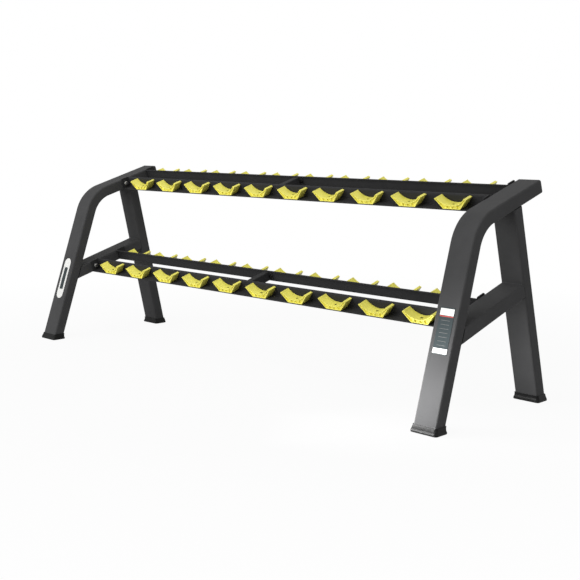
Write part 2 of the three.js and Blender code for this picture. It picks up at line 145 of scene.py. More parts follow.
class RackRailSizes(bpy.types.PropertyGroup):
    """Sizes of the rails, their end plates and the centre braces."""
    height: length("Height", 0.051, "Rail, over the folds")
    sheet: length("Sheet", 0.004, "Thickness of the rail's sheet")
    bend: length("Bend", 0.0025, "Inside radius of the folds")
    lip: length("Lip", 0.011, "Top fold, over the sheet")
    spread: length("Spread", 0.130, "Between the cradle faces of a tier's two rails")
    upper_setback: length("Upper setback", 0.0615, "Rear rail in front of the arm's end")
    lower_setback: length("Lower setback", 0.151, "Rear rail in front of the rear leg")
    end_plate: length("End plate", 0.005, "Thickness of the end plates")
    end_plate_rise: length("End plate rise", 0.004, "End plate above the rail's top")
    end_plate_corner: length("End plate corner", 0.006, "Radius of the end plate's corners")
    brace_width: length("Brace width", 0.034, "Over the centre brace's folds")
    brace_height: length("Brace height", 0.038, "Depth of the centre brace's channel")
    brace_sheet: length("Brace sheet", 0.003, "Thickness of the centre brace")
    brace_bend: length("Brace bend", 0.001, "Inside radius of the brace's folds")
    flange_width: length("Flange width", 0.066, "Width of the brace's bolted flanges")
    flange: length("Flange", 0.004, "Thickness of the brace's flanges")
    flange_corner: length("Flange corner", 0.005, "Radius of the flanges' corners")
    bolt_head: length("Bolt head", 0.017, "Across the flats of the frame bolts")
    bolt_washer: length("Bolt washer", 0.023, "Diameter of the frame bolts' washers")


class RackCradleSizes(bpy.types.PropertyGroup):
    """Sizes of the moulded saddle cradles."""
    per_rail: IntProperty(name="Cradles per rail", default=10, min=1, description="On each rail")
    width: length("Width", 0.1485, "Tip to tip, before the corners are rounded")
    base_width: length("Base width", 0.078, "On the rail's ledge")
    height: length("Height", 0.0445, "Base to the crest of the wings")
    depth: length("Depth", 0.042, "Outer face to back face")
    saddle_radius: length("Saddle radius", 0.085, "Arc that a dumbbell's head rests in")
    saddle_floor: length("Saddle floor", 0.0145, "Material under the saddle's lowest line")
    tip_width: length("Tip width", 0.0105, "Crest to tip")
    tip_drop: length("Tip drop", 0.0045, "The tip's end falls this much to the outside")
    wall: length("Wall", 0.0032, "Around the moulded pockets")
    rib: length("Rib", 0.004, "Between the moulded pockets")
    pocket_width: length("Pocket width", 0.019, "Each of the two pockets beside the middle rib")
    pocket_depth: length("Pocket depth", 0.006, "Depth of the pockets")
    corner: length("Corner", 0.0015, "Radius of the moulded corners")
    rim: length("Rim", 0.0006, "Radius of the moulded rims")
    screw_head: length("Screw head", 0.010, "Diameter of the screw's head")
    counterbore: length("Counterbore", 0.0125, "Diameter of the screw's recess")
    counterbore_depth: length("Counterbore depth", 0.0045, "Below the saddle's lowest line")


class RackFinishes(bpy.types.PropertyGroup):
    """Colours of the rack's finishes, as linear values."""
    frame: colour("Frame", (0.06, 0.06, 0.061), "Charcoal powder coat of the end frames")
    # The rails and braces wear the frame's powder coat; this darker colour is painted shade, for
    # webs that sit in shadow between the cradles and under the tiers.
    rail: colour("Rail", (0.032, 0.032, 0.033), "Black powder coat of the rails")
    frame_wear: colour("Frame wear", (0.09, 0.09, 0.092), "Powder coat rubbed along its edges")
    cradle: colour("Cradle", (0.92, 0.85, 0.14), "Yellow moulded plastic")
    boot: colour("Boot", (0.004, 0.004, 0.004), "Black rubber")
    cap: colour("Cap", (0.024, 0.024, 0.025), "Black plastic")
    zinc: colour("Zinc", (0.56, 0.56, 0.54), "Plated bolts and washers")
    oxide: colour("Black oxide", (0.045, 0.042, 0.04), "Cradle screws")
    pale: colour("Panel, pale", (0.72, 0.72, 0.7), "Pale bands of the panels")
    dark: colour("Panel, dark", (0.016, 0.026, 0.029), "Dark field of the panels")
    red: colour("Panel, red", (0.42, 0.06, 0.05), "Rule under the panel's header")
    floor: colour("Floor", (0.6, 0.6, 0.6), "Studio floor")
    dust: FloatProperty(name="Dust", default=0.02, description="Dust on faces that look up",
                        subtype="FACTOR", min=0, max=1)


# ---- side view


def along(angle_from_y):
    """Direction in the side view, by its angle from +Y towards +Z."""
    return Vector((0, math.cos(angle_from_y), math.sin(angle_from_y)))


def above(direction):
    """Direction square to another in the side view, a quarter turn from it towards +Z."""
    return Vector((0, -direction.z, direction.y))


def crossing(point_a, along_a, point_b, along_b):
    """Where two lines of the side view meet."""
    return intersect_line_line(point_a, point_a + along_a, point_b, point_b + along_b)[0]


class Layout:
    """Lines and corners of the end frame in the side view, at x = 0."""

    def __init__(self, scene):
        tube, rails = scene.rack_frame, scene.rack_rails
        self.half = tube.tube_depth / 2
        self.arm = along(tube.slope)
        self.front = along(QUARTER - tube.front_lean)
        self.rear = along(QUARTER + tube.rear_lean)
        self.front_foot = Vector((0, -tube.foot_spread / 2, 0))
        self.rear_foot = Vector((0, tube.foot_spread / 2, 0))
        self.arm_end = Vector((0, self.rear_foot.y - tube.arm_end_inset, tube.arm_end_height))
        self.rear_leg_front = self.rear_foot + above(self.rear) * self.half
        rise = (tube.lower_arm_height - self.rear_leg_front.z) / self.rear.z
        self.cross_arm_top = self.rear_leg_front + self.rear * rise
        self.sole_cut = (Vector((0, 0, scene.rack_boots.sole + CLEARANCE)), Vector((0, 0, -1)))
        self.cap_cut = (self.arm_end - self.arm * (scene.rack_boots.cap + CLEARANCE), self.arm)
        self.spread = rails.spread
        self.setback = {"upper": rails.upper_setback, "lower": rails.lower_setback}
        self.side_x = {side: middle(f"bent_upright_{side}").x for side in SIDES}

    def tier(self, name):
        """Frame of a tier: y up the slope from its top corner, z square to it."""
        corner = self.arm_end if name == "upper" else self.cross_arm_top
        return shift(corner) @ rotate(math.atan2(self.arm.z, self.arm.y), "X")

    def row(self, name):
        """Frame of a rail: its web's cradle face is at y = 0, its ledge runs to +y."""
        tier, place = name.split("_")
        if place == "rear":
            return self.tier(tier) @ shift((0, -self.setback[tier], 0))
        front = shift((0, -self.setback[tier] - self.spread, 0))
        return self.tier(tier) @ front @ rotate(math.pi, "Z")


# ---- modelling


def only(kind, geometry):
    return [each for each in geometry if isinstance(each, kind)]


def rounded_face(bm, width, height, corner):
    """A face in the XY plane, centred on the origin, with rounded corners."""
    verts = bmesh.ops.create_grid(bm, x_segments=1, y_segments=1, size=0.5)["verts"]
    bmesh.ops.scale(bm, vec=(width, height, 1), verts=verts)
    bmesh.ops.bevel(bm, geom=verts, offset=corner, offset_type="OFFSET", affect="VERTICES",
                    segments=CORNER_STEPS, profile=0.5, material=-1)
    bm.faces.ensure_lookup_table()
    return bm.faces[-1]


def rounded_ring(bm, width, height, corner):
    """The edges of a rounded face, without the face."""
    face = rounded_face(bm, width, height, corner)
    edges = list(face.edges)
    bmesh.ops.delete(bm, geom=[face], context="FACES_ONLY")
    return edges


def pull_faces(bm, faces, offset, grow=None):
    """Extrudes a face region and moves it. grow scales it about its middle."""
    made = bmesh.ops.extrude_face_region(bm, geom=faces)["geom"]
    verts = only(BMVert, made)
    if grow:
        centre = sum((v.co for v in verts), Vector()) / len(verts)
        bmesh.ops.scale(bm, vec=grow, verts=verts, space=shift(-centre))
    bmesh.ops.translate(bm, vec=offset, verts=verts)
    return only(BMFace, made)


def sweep(bm, geometry, centre, axis, turn):
    """Extrudes geometry round a centre. Returns what it ends in."""
    return bmesh.ops.spin(bm, geom=geometry, cent=centre, axis=axis, dvec=(0, 0, 0), angle=turn,
                          steps=ARC_STEPS, use_merge=False, use_duplicate=False)["geom_last"]


def pull_edges(bm, edges, offset):
    """Extrudes a run of edges into a wall."""
    made = bmesh.ops.extrude_edge_only(bm, edges=edges)["geom"]
    bmesh.ops.translate(bm, vec=offset, verts=only(BMVert, made))
    return only(BMEdge, made)


def cut(bm, point, outwards):
    """Removes what lies beyond a plane, and joins the two loops that a wall is left with."""
    made = bmesh.ops.bisect_plane(bm, geom=bm.verts[:] + bm.edges[:] + bm.faces[:], dist=SAME_PLACE,
                                  plane_co=point, plane_no=outwards, clear_outer=True)
    rims = [e for e in only(BMEdge, made["geom_cut"]) if e.is_boundary]
    bmesh.ops.bridge_loops(bm, edges=rims)


def outward(bm):
    """Turns every face to the outside."""
    bmesh.ops.recalc_face_normals(bm, faces=bm.faces)
    return bm


def round_edges(bm, edges, radius, segments):
    bmesh.ops.bevel(bm, geom=edges, offset=radius, offset_type="OFFSET", affect="EDGES",
                    segments=segments, profile=0.5, material=-1)


def sharp_edges(bm):
    return [e for e in bm.edges if e.is_manifold and e.calc_face_angle() > SHARP]


def fillet(bm, edges, radius):
    """Rounds sharp edges by one radius, whatever the angle between their faces."""
    for turn in sorted({round(e.calc_face_angle(), 2) for e in edges}):
        alike = [e for e in edges if e.is_valid and abs(e.calc_face_angle() - turn) < SAME_TURN]
        round_edges(bm, alike, radius * math.tan(turn / 2), 4)


def move(bm, matrix):
    bmesh.ops.transform(bm, matrix=matrix, verts=bm.verts[:])
    return bm


def join(bm, part, *places):
    """Adds a copy of one bmesh to another at each place, and frees it."""
    for place in places:
        mesh = bpy.data.meshes.new("join")
        part.to_mesh(mesh)
        mesh.transform(place)
        bm.from_mesh(mesh)
        bpy.data.meshes.remove(mesh)
    part.free()


def copies(part, places):
    """A new bmesh with one part at each of several places."""
    bm = bmesh.new()
    join(bm, part, *places)
    return bm


def slab(width, height, thickness, corner, rim):
    """A plate from z = 0 up, centred on the Z axis, with rounded corners and softened rims."""
    bm = bmesh.new()
    pull_faces(bm, [rounded_face(bm, width, height, corner)], (0, 0, thickness))
    outward(bm)
    round_edges(bm, sharp_edges(bm), rim, 2)
    return bm


def folded_sheet(path, bends, sheet, half, axis, outer):
    """A sheet folded along a path of points, from -half to half along an axis.

    The path is its outer side, which faces the way outer points at the first stretch.
    """
    bm = bmesh.new()
    start = [bm.verts.new(Vector(point) - axis * half) for point in path]
    edges = [bm.edges.new(pair) for pair in zip(start, start[1:])]
    pull_edges(bm, edges, axis * 2 * half)
    outward(bm)
    if edges[0].link_faces[0].normal.dot(outer) < 0:
        bmesh.ops.reverse_faces(bm, faces=bm.faces)
    for corner, radius in zip(path[1:-1], bends):
        fold = min((e for e in bm.edges if e.is_manifold),
                   key=lambda e: ((e.verts[0].co + e.verts[1].co) / 2 - Vector(corner)).length)
        round_edges(bm, [fold], radius, FOLD_STEPS)
    bmesh.ops.solidify(bm, geom=bm.faces[:], thickness=sheet)
    return outward(bm)


def new_object(name, data, place=Matrix()):
    """Puts a mesh, lamp or camera in the scene. A bmesh becomes a mesh, and is freed."""
    if isinstance(data, bmesh.types.BMesh):
        mesh = bpy.data.meshes.new(name)
        data.to_mesh(mesh)
        data.free()
        data = mesh
    made = bpy.data.objects.new(name, data)
    made.matrix_world = place
    bpy.context.scene.collection.objects.link(made)
    return made


def add_piece(name, bm, place, finishes, slot, *replaced):
    """Makes a finished, smooth-shaded piece that rides on the rack's one body."""
    piece = new_object(name, move(bm, place))
    for each in finishes:
        piece.data.materials.append(finish(each))
    piece.data.shade_smooth()
    piece.data.set_sharp_from_angle(angle=SHARP)
    normals = piece.modifiers.new("Even normals", "WEIGHTED_NORMAL")
    normals.keep_sharp = True
    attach(piece, "root")
    if replaced:
        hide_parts(*replaced)


# ---- pieces


# Radii of softened rims.
CAP_RIM = 0.001
RAIL_RIM = 0.0005
BRACE_RIM = 0.0004
PLATE_RIM = 0.0006
SCREW_RIM = 0.0009
PANEL_RIM = 0.0002
BAND_RIM = 0.00005

SKIRT_WALL = 0.0025
FLARE_STEPS = 6
WELD_RIPPLE = 1.16
WELD_RIPPLES = 30
WELD_SEGMENTS = 10
CREST_FLAT = 0.002  # between the saddle's arc and the wing's crest
BORE_REACH = 0.04
BORE_SIDES = 32
SCREW_SIDES = 24
SCREW_FILL = 0.75  # how far the screw's head fills its recess
SOCKET_SHARE = 0.3  # the socket's radius, in head diameters
SOCKET_LIFT = 0.0002
BRACE_BOLT_SCALE = 0.72
BRACE_BOLT_DROP = 0.55  # down the brace's height
RAIL_BOLT_INSET = 0.002
PANEL_THICKNESS = 0.0008
BAND_THICKNESS = 0.0002
BAND_CORNER = 0.0015
BAND_CORNER_SHARE = 0.3  # the most, in band heights

# Parts of a bolt: segments, base, height and rim. The head's crown ends a little above it.
WASHER = (36, 0.0, 0.0018, 0.0004)
HEAD = (6, 0.0018, 0.0062, 0.0006)
CROWN = (30, 0.0018, 0.0066, 0.0003)
CROWN_SHARE = 0.46  # the crown's radius, in bolt heads


def bent_tube(tube, layout):
    """The bent upright: front leg, bend and upper arm in one tube."""
    arm_centre = layout.arm_end - above(layout.arm) * layout.half
    knee = crossing(layout.front_foot, layout.front, arm_centre, layout.arm)
    turn = layout.front.angle(layout.arm)
    tangent = tube.bend_radius * math.tan(turn / 2)
    start = layout.front_foot - layout.front * tube.tube_depth
    bend_start = knee - layout.front * tangent
    bend_end = knee + layout.arm * tangent
    bend_centre = bend_start - above(layout.front) * tube.bend_radius

    bm = bmesh.new()
    edges = rounded_ring(bm, tube.tube_width, tube.tube_depth, tube.tube_corner)
    move(bm, shift(start) @ rotate(-tube.front_lean, "X"))
    edges = pull_edges(bm, edges, bend_start - start)
    verts = list({v for e in edges for v in e.verts})
    bent = sweep(bm, edges + verts, bend_centre, AXIS_X, -turn)
    past_end = arm_centre + layout.arm * tube.tube_depth
    pull_edges(bm, only(BMEdge, bent), past_end - bend_end)
    return tube_wall(bm, tube, [layout.sole_cut, layout.cap_cut])


def straight_tube(tube, start, end, turned, cuts):
    """A straight tube that runs past two points of the side view, trimmed by planes."""
    past = (end - start).normalized() * tube.tube_depth
    bm = bmesh.new()
    edges = rounded_ring(bm, tube.tube_width, tube.tube_depth, tube.tube_corner)
    move(bm, shift(start - past) @ rotate(turned, "X"))
    pull_edges(bm, edges, end - start + 2 * past)
    return tube_wall(bm, tube, cuts)


def tube_wall(bm, tube, cuts):
    """Gives an open tube its wall, then trims it by planes."""
    outward(bm)
    bmesh.ops.solidify(bm, geom=bm.faces[:], thickness=tube.tube_wall)
    for point, outwards in cuts:
        cut(bm, point, outwards)
    return outward(bm)


def rear_leg(tube, layout):
    under_arm = layout.arm_end - above(layout.arm) * (tube.tube_depth + CLEARANCE)
    top = crossing(layout.rear_foot, layout.rear, under_arm, layout.arm)
    return straight_tube(tube, layout.rear_foot, top, tube.rear_lean,
                         [layout.sole_cut, (under_arm, above(layout.arm))])


def cross_arm(tube, layout):
    centre = layout.cross_arm_top - above(layout.arm) * layout.half
    front_face = layout.front_foot - above(layout.front) * (layout.half + CLEARANCE)
    rear_face = layout.rear_leg_front + above(layout.rear) * CLEARANCE
    front = crossing(centre, layout.arm, front_face, layout.front)
    return straight_tube(tube, front, centre, tube.slope - QUARTER,
                         [(front_face, above(layout.front)), (rear_face, -above(layout.rear))])


def weld_bead(radius, length_across):
    """A rippled bead along X, centred on the origin."""
    bm = bmesh.new()
    bmesh.ops.create_circle(bm, cap_ends=True, segments=WELD_SEGMENTS, radius=radius)
    move(bm, shift((-length_across / 2, 0, 0)) @ rotate(QUARTER, "Y"))
    faces = bm.faces[:]
    for i in range(WELD_RIPPLES):
        ripple = WELD_RIPPLE if i % 2 else 1 / WELD_RIPPLE
        faces = pull_faces(bm, faces, (length_across / WELD_RIPPLES, 0, 0), (1, ripple, ripple))
    return outward(bm)


def frame_welds(tube, layout):
    """Fillet welds where the rear leg meets the arm and the cross arm meets both legs."""
    under_arm = layout.arm_end - above(layout.arm) * tube.tube_depth
    behind_front = layout.front_foot - above(layout.front) * layout.half
    joints = []
    for side in (1, -1):
        leg_face = layout.rear_foot + above(layout.rear) * layout.half * side
        arm_face = layout.cross_arm_top + above(layout.arm) * layout.half * (side - 1)
        joints += [crossing(leg_face, layout.rear, under_arm, layout.arm),
                   crossing(arm_face, layout.arm, layout.rear_leg_front, layout.rear),
                   crossing(arm_face, layout.arm, behind_front, layout.front)]
    bead = weld_bead(tube.weld, tube.tube_width - 2 * tube.tube_corner)
    return copies(bead, [shift(place) for place in joints])


def boot_shape(tube, boots, lean):
    """A flared boot round a leg, the leg's centre line through the origin at the floor."""
    depth = tube.tube_depth / math.cos(max(tube.front_lean, tube.rear_lean))
    flared = boots.wall + boots.flare
    footprint = math.copysign(boots.inset, lean)
    levels = [(0.0, flared - boots.edge, footprint), (boots.edge, flared, footprint),
              (boots.lip, flared, footprint)]
    for i in range(FLARE_STEPS):
        t = (i + 1) / FLARE_STEPS
        height = boots.lip + (boots.height - boots.lip) * t
        follows = min(1.0, 2 * t)
        levels.append((height, boots.wall + boots.flare * (1 - t) ** 2,
                       footprint * (1 - follows) + math.tan(lean) * height * follows))

    def size(margin):
        return tube.tube_width + 2 * margin, depth + 2 * margin

    bm = bmesh.new()
    faces = [rounded_face(bm, *size(levels[0][1]), boots.corner)]
    move(bm, shift((0, footprint, 0)))
    for (z, margin, y), (next_z, next_margin, next_y) in zip(levels, levels[1:]):
        grow = [after / before for before, after in zip(size(margin), size(next_margin))]
        faces = pull_faces(bm, faces, (0, next_y - y, next_z - z), (*grow, 1))
    bmesh.ops.inset_region(bm, faces=faces, thickness=boots.wall - CLEARANCE,
                           use_even_offset=True, use_boundary=True)
    down = boots.height - boots.sole
    pull_faces(bm, faces, (0, -math.tan(lean) * down, -down))
    return outward(bm)


def cap_shape(tube, boots):
    """Plug in the upper arm's end, its head from y = 0 down the arm."""
    bm = slab(tube.tube_width, tube.tube_depth, boots.cap, tube.tube_corner, CAP_RIM)
    inside = tube.tube_wall + CLEARANCE
    skirt = bmesh.new()
    edges = rounded_ring(skirt, tube.tube_width - 2 * inside, tube.tube_depth - 2 * inside,
                         tube.tube_corner - tube.tube_wall)
    pull_edges(skirt, edges, (0, 0, -boots.cap_skirt))
    outward(skirt)
    bmesh.ops.solidify(skirt, geom=skirt.faces[:], thickness=SKIRT_WALL)
    join(bm, skirt, Matrix())
    return move(bm, shift((0, -boots.cap, -tube.tube_depth / 2)) @ rotate(-QUARTER, "X"))


def rail_shape(rails, cradles, half):
    """A folded rail with its two end plates, in the rail's own frame."""
    ledge = cradles.depth + CLEARANCE
    ledge_top = rails.sheet - rails.height
    path = [(0, -rails.lip, 0), (0, 0, 0), (0, 0, ledge_top), (0, ledge, ledge_top)]
    bm = folded_sheet(path, (rails.bend + rails.sheet, rails.bend), rails.sheet, half, AXIS_X,
                      Vector((0, 0, 1)))
    round_edges(bm, sharp_edges(bm), RAIL_RIM, 2)
    plate_depth = ledge + rails.sheet
    plate_height = rails.height + rails.end_plate_rise
    plate = slab(plate_depth, plate_height, rails.end_plate, rails.end_plate_corner, PLATE_RIM)
    upright = Matrix(((0, 0, 1, 0), (1, 0, 0, 0), (0, 1, 0, 0), (0, 0, 0, 1)))
    centre = Vector((0, plate_depth / 2 - rails.sheet, plate_height / 2 - rails.height))
    join(bm, plate, *(shift(centre + AXIS_X * x) @ upright
                      for x in (-half, half - rails.end_plate)))
    return bm


def brace_shape(rails):
    """The channel between a tier's two webs, centred on y = 0, with a flange at each end."""
    half = rails.spread / 2 - rails.sheet - CLEARANCE
    top = -rails.sheet - CLEARANCE
    bottom = top - rails.brace_height
    x = rails.brace_width / 2
    path = [(-x, 0, bottom), (-x, 0, top), (x, 0, top), (x, 0, bottom)]
    fold = rails.brace_sheet + rails.brace_bend
    bm = folded_sheet(path, (fold, fold), rails.brace_sheet, half - rails.flange / 2,
                      AXIS_Y, -AXIS_X)
    round_edges(bm, sharp_edges(bm), BRACE_RIM, 2)
    flange_top = top - rails.bend
    height = flange_top - bottom
    flange = slab(rails.flange_width, height, rails.flange, rails.flange_corner, BRACE_RIM)
    join(bm, flange, *(shift((0, y, (flange_top + bottom) / 2)) @ rotate(QUARTER, "X")
                       for y in (-half + rails.flange, half)))
    return bm


def prism(segments, radius, height):
    """A disc or a hexagon standing on the XY plane, with its top face."""
    bm = bmesh.new()
    bmesh.ops.create_circle(bm, cap_ends=True, segments=segments, radius=radius)
    top = pull_faces(bm, bm.faces[:], (0, 0, height))[0]
    return outward(bm), top


def hex_bolt(rails):
    """A bolt head on its washer, on the XY plane and standing up +Z."""
    across_corners = rails.bolt_head / math.cos(math.pi / 6)
    bm = bmesh.new()
    for (segments, base, height, rim), radius in (
            (WASHER, rails.bolt_washer / 2), (HEAD, across_corners / 2),
            (CROWN, rails.bolt_head * CROWN_SHARE)):
        part, _ = prism(segments, radius, height)
        round_edges(part, sharp_edges(part), rim, 2)
        join(bm, part, shift((0, 0, base)))
    return bm


def cradle_shape(cradles, rails):
    """The moulded cradle: outer face at y = 0, back at y = depth, base at z = 0."""
    base = cradles.base_width / 2
    tip = cradles.width / 2
    crest = tip - cradles.tip_width
    arc_end = crest - CREST_FLAT
    radius = cradles.saddle_radius
    arc_centre = Vector((0, 0, cradles.saddle_floor + radius))
    bm = bmesh.new()
    first = bm.verts.new((arc_end, 0, arc_centre.z - math.sqrt(radius ** 2 - arc_end ** 2)))
    last = sweep(bm, [first], arc_centre, AXIS_Y, 2 * math.asin(arc_end / radius))
    run = only(BMVert, last)[:1]
    corners = [(crest, cradles.height), (tip, cradles.height - cradles.tip_drop), (base, 0)]
    run += [bm.verts.new((-x, 0, z)) for x, z in corners]
    run += [bm.verts.new((x, 0, z)) for x, z in reversed(corners)] + [first]
    for pair in zip(run, run[1:]):
        bm.edges.new(pair)
    outer = bmesh.ops.edgeloop_fill(bm, edges=bm.edges[:])["faces"]
    pull_faces(bm, outer, (0, cradles.depth, 0))
    outward(bm)

    face = min(bm.faces, key=lambda f: (f.calc_center_median().y, -f.calc_area()))
    bmesh.ops.inset_region(bm, faces=[face], thickness=cradles.wall, use_even_offset=True,
                           use_boundary=True)
    inner = cradles.rib / 2
    outer_end = inner + cradles.pocket_width
    wing = outer_end + cradles.rib
    field = [face]
    for x in (inner, -inner, outer_end, -outer_end, wing, -wing):
        pieces = field + list({e for f in field for e in f.edges})
        pieces += list({v for f in field for v in f.verts})
        result = bmesh.ops.bisect_plane(bm, geom=pieces, dist=SAME_PLACE, plane_co=(x, 0, 0),
                                        plane_no=AXIS_X)["geom"]
        field = only(BMFace, result)

    def in_pocket(f):
        x = abs(f.calc_center_bounds().x)
        return inner < x < outer_end or x > wing

    pockets = [f for f in field if in_pocket(f)]
    floors = bmesh.ops.extrude_discrete_faces(bm, faces=pockets)["faces"]
    bmesh.ops.translate(bm, vec=(0, cradles.pocket_depth, 0),
                        verts=list({v for f in floors for v in f.verts}))
    outward(bm)

    def runs_back(e):
        return abs(e.verts[1].co.y - e.verts[0].co.y) > RUN_SHARE * e.calc_length()

    under_back = [e for e in bm.edges
                  if all(v.co.y > cradles.depth - NEAR and v.co.z < NEAR for v in e.verts)]
    round_edges(bm, under_back, rails.bend + CLEARANCE, 1)
    fillet(bm, [e for e in sharp_edges(bm) if runs_back(e)], cradles.corner)
    round_edges(bm, [e for e in sharp_edges(bm) if not runs_back(e)], cradles.rim, 2)
    return bore(bm, cradles)


def bore(bm, cradles):
    """Cuts the screw's recess into the saddle's floor."""
    drill = bmesh.new()
    radius = cradles.counterbore / 2
    bmesh.ops.create_cone(drill, cap_ends=True, segments=BORE_SIDES, radius1=radius,
                          radius2=radius, depth=BORE_REACH)
    move(drill, screw_seat(cradles) @ shift((0, 0, BORE_REACH / 2)))
    body, tool = new_object("uncut", bm), new_object("tool", drill)
    modifier = body.modifiers.new("Recess", "BOOLEAN")
    modifier.object = tool
    modifier.solver = "EXACT"
    depsgraph = bpy.context.evaluated_depsgraph_get()
    bored = bpy.data.meshes.new_from_object(body.evaluated_get(depsgraph))
    bm = bmesh.new()
    bm.from_mesh(bored)
    meshes = (body.data, tool.data, bored)
    for each in (body, tool):
        bpy.data.objects.remove(each)
    for mesh in meshes:
        bpy.data.meshes.remove(mesh)
    return bm


def screw_seat(cradles):
    """Where the screw's head sits in the cradle."""
    return shift((0, cradles.depth / 2, cradles.saddle_floor - cradles.counterbore_depth))


def socket_screw(cradles):
    """A round head with a near-black hexagon as painted shade of its socket, standing up +Z from
    its seat.
    """
    height = cradles.counterbore_depth * SCREW_FILL
    bm, top = prism(SCREW_SIDES, cradles.screw_head / 2, height)
    round_edges(bm, top.edges[:], SCREW_RIM, 2)
    # The socket is not cut: a thin hexagon in the near-black screw_socket_shadow finish is painted
    # shade of the recess.
    key, _ = prism(6, cradles.screw_head * SOCKET_SHARE, SOCKET_LIFT)
    for face in key.faces:
        face.material_index = 1
    join(bm, key, shift((0, 0, height)))
    return bm


def cradle_place(name, layout, cradles, rails):
    """Frame of one cradle, from its row and its own box."""
    row_frame = layout.row(name.rsplit("_", 1)[0])
    x = (row_frame.inverted() @ middle(f"cradle_{name}")).x
    ledge = Vector((x, cradles.depth + CLEARANCE, rails.sheet + CLEARANCE - rails.height))
    return row_frame @ shift(ledge) @ rotate(math.pi, "Z")


def panel_plate(width, height, corner, bands):
    """A thin plate with raised bands on it. A band is (middle height, width, height, slot)."""
    bm = slab(width, height, PANEL_THICKNESS, corner, PANEL_RIM)
    for mid, band_width, band_height, index in bands:
        band_corner = min(BAND_CORNER, band_height * BAND_CORNER_SHARE)
        band = slab(band_width, band_height, BAND_THICKNESS, band_corner, BAND_RIM)
        for face in band.faces:
            face.material_index = index
        join(bm, band, shift((0, mid, PANEL_THICKNESS)))
    return bm


# ---- materials


class Wiring:
    """Adds and joins the nodes of one material, world or group."""

    def __init__(self, owner):
        if not isinstance(owner, bpy.types.NodeTree):
            owner.use_nodes = True
            owner = owner.node_tree
            owner.nodes.clear()
        self.tree = owner

    def add(self, kind, inputs=(), **settings):
        node = self.tree.nodes.new(kind)
        for name, value in settings.items():
            setattr(node, name, value)
        for name, value in dict(inputs).items():
            if isinstance(value, bpy.types.NodeSocket):
                self.tree.links.new(value, node.inputs[name])
            else:
                node.inputs[name].default_value = value
        return node

    def group(self, name, inputs):
        return self.add("ShaderNodeGroup", inputs, node_tree=shared_group(name)).outputs

    def math(self, operation, first, second):
        return self.add("ShaderNodeMath", {0: first, 1: second}, operation=operation).outputs[0]

    def mapped(self, value, from_low=0, from_high=1, to_low=0, to_high=1):
        """Maps one range to another, and stops at its ends."""
        return self.add("ShaderNodeMapRange", {
            "Value": value, "From Min": from_low, "From Max": from_high, "To Min": to_low,
            "To Max": to_high}).outputs["Result"]

    def noise(self, scale, detail, roughness):
        """Noise on Object coordinates."""
        return self.add("ShaderNodeTexNoise", {
            "Vector": self.add("ShaderNodeTexCoord").outputs["Object"], "Scale": scale,
            "Detail": detail, "Roughness": roughness}).outputs["Fac"]

    def mix(self, factor, first, second):
        """Mixes two colours, by the mix node's colour sockets."""
        node = self.add("ShaderNodeMix", {0: factor, 6: first, 7: second}, data_type="RGBA")
        return node.outputs[2]

    def surface(self, shader, kind="Material"):
        self.add(f"ShaderNodeOutput{kind}", {"Surface": shader.outputs[0]})


def grain_group(wiring, given):
    """Fine grain for bump, and slow patches for colour and roughness."""
    patches = wiring.noise(given["Patch scale"], 4.0, 0.55)
    return {"Grain": wiring.noise(given["Grain scale"], 3.0, 0.6),
            "Patches": wiring.mapped(patches, 0.3, 0.7)}


def wear_group(wiring, given):
    """Mask along outer edges, broken up by noise."""
    softened = wiring.add("ShaderNodeBevel", {"Radius": given["Reach"]}, samples=4)
    facing = wiring.add("ShaderNodeVectorMath", {
        0: softened.outputs["Normal"], 1: wiring.add("ShaderNodeNewGeometry").outputs["Normal"]},
        operation="DOT_PRODUCT").outputs["Value"]
    gaps = wiring.mapped(wiring.noise(60.0, 5.0, 0.65), 0.38, 0.62)
    mask = wiring.math("MULTIPLY", wiring.mapped(facing, 0.995, 0.86), gaps)
    return {"Mask": wiring.math("MULTIPLY", mask, given["Amount"])}


def dust_group(wiring, given):
    """Mask on faces that look up, thicker in patches."""
    normal = wiring.add("ShaderNodeNewGeometry").outputs["Normal"]
    height = wiring.add("ShaderNodeSeparateXYZ", {"Vector": normal}).outputs["Z"]
    thick = wiring.mapped(wiring.noise(22.0, 6.0, 0.7), 0.35, 0.75)
    mask = wiring.math("MULTIPLY", wiring.mapped(height, 0.55, 0.98), thick)
    return {"Mask": wiring.math("MULTIPLY", mask, given["Amount"])}


NODE_GROUPS = {
    "Rack grain": (grain_group, ("Grain scale", "Patch scale"), ("Grain", "Patches")),
    "Rack edge wear": (wear_group, ("Reach", "Amount"), ("Mask",)),
    "Rack dust": (dust_group, ("Amount",), ("Mask",)),
}


def shared_group(name):
    """A node group with float sockets, made when it is first used."""
    tree = bpy.data.node_groups.get(name)
    if not tree:
        fill, inputs, outputs = NODE_GROUPS[name]
        tree = bpy.data.node_groups.new(name, "ShaderNodeTree")
        for in_out, sockets in (("INPUT", inputs), ("OUTPUT", outputs)):
            for socket in sockets:
                tree.interface.new_socket(socket, in_out=in_out, socket_type="NodeSocketFloat")
        wiring = Wiring(tree)
        wiring.add("NodeGroupOutput", fill(wiring, wiring.add("NodeGroupInput").outputs))
    return tree


DUST_COLOUR = (0.42, 0.40, 0.37, 1.0)
COAT_ROUGHNESS = 0.2

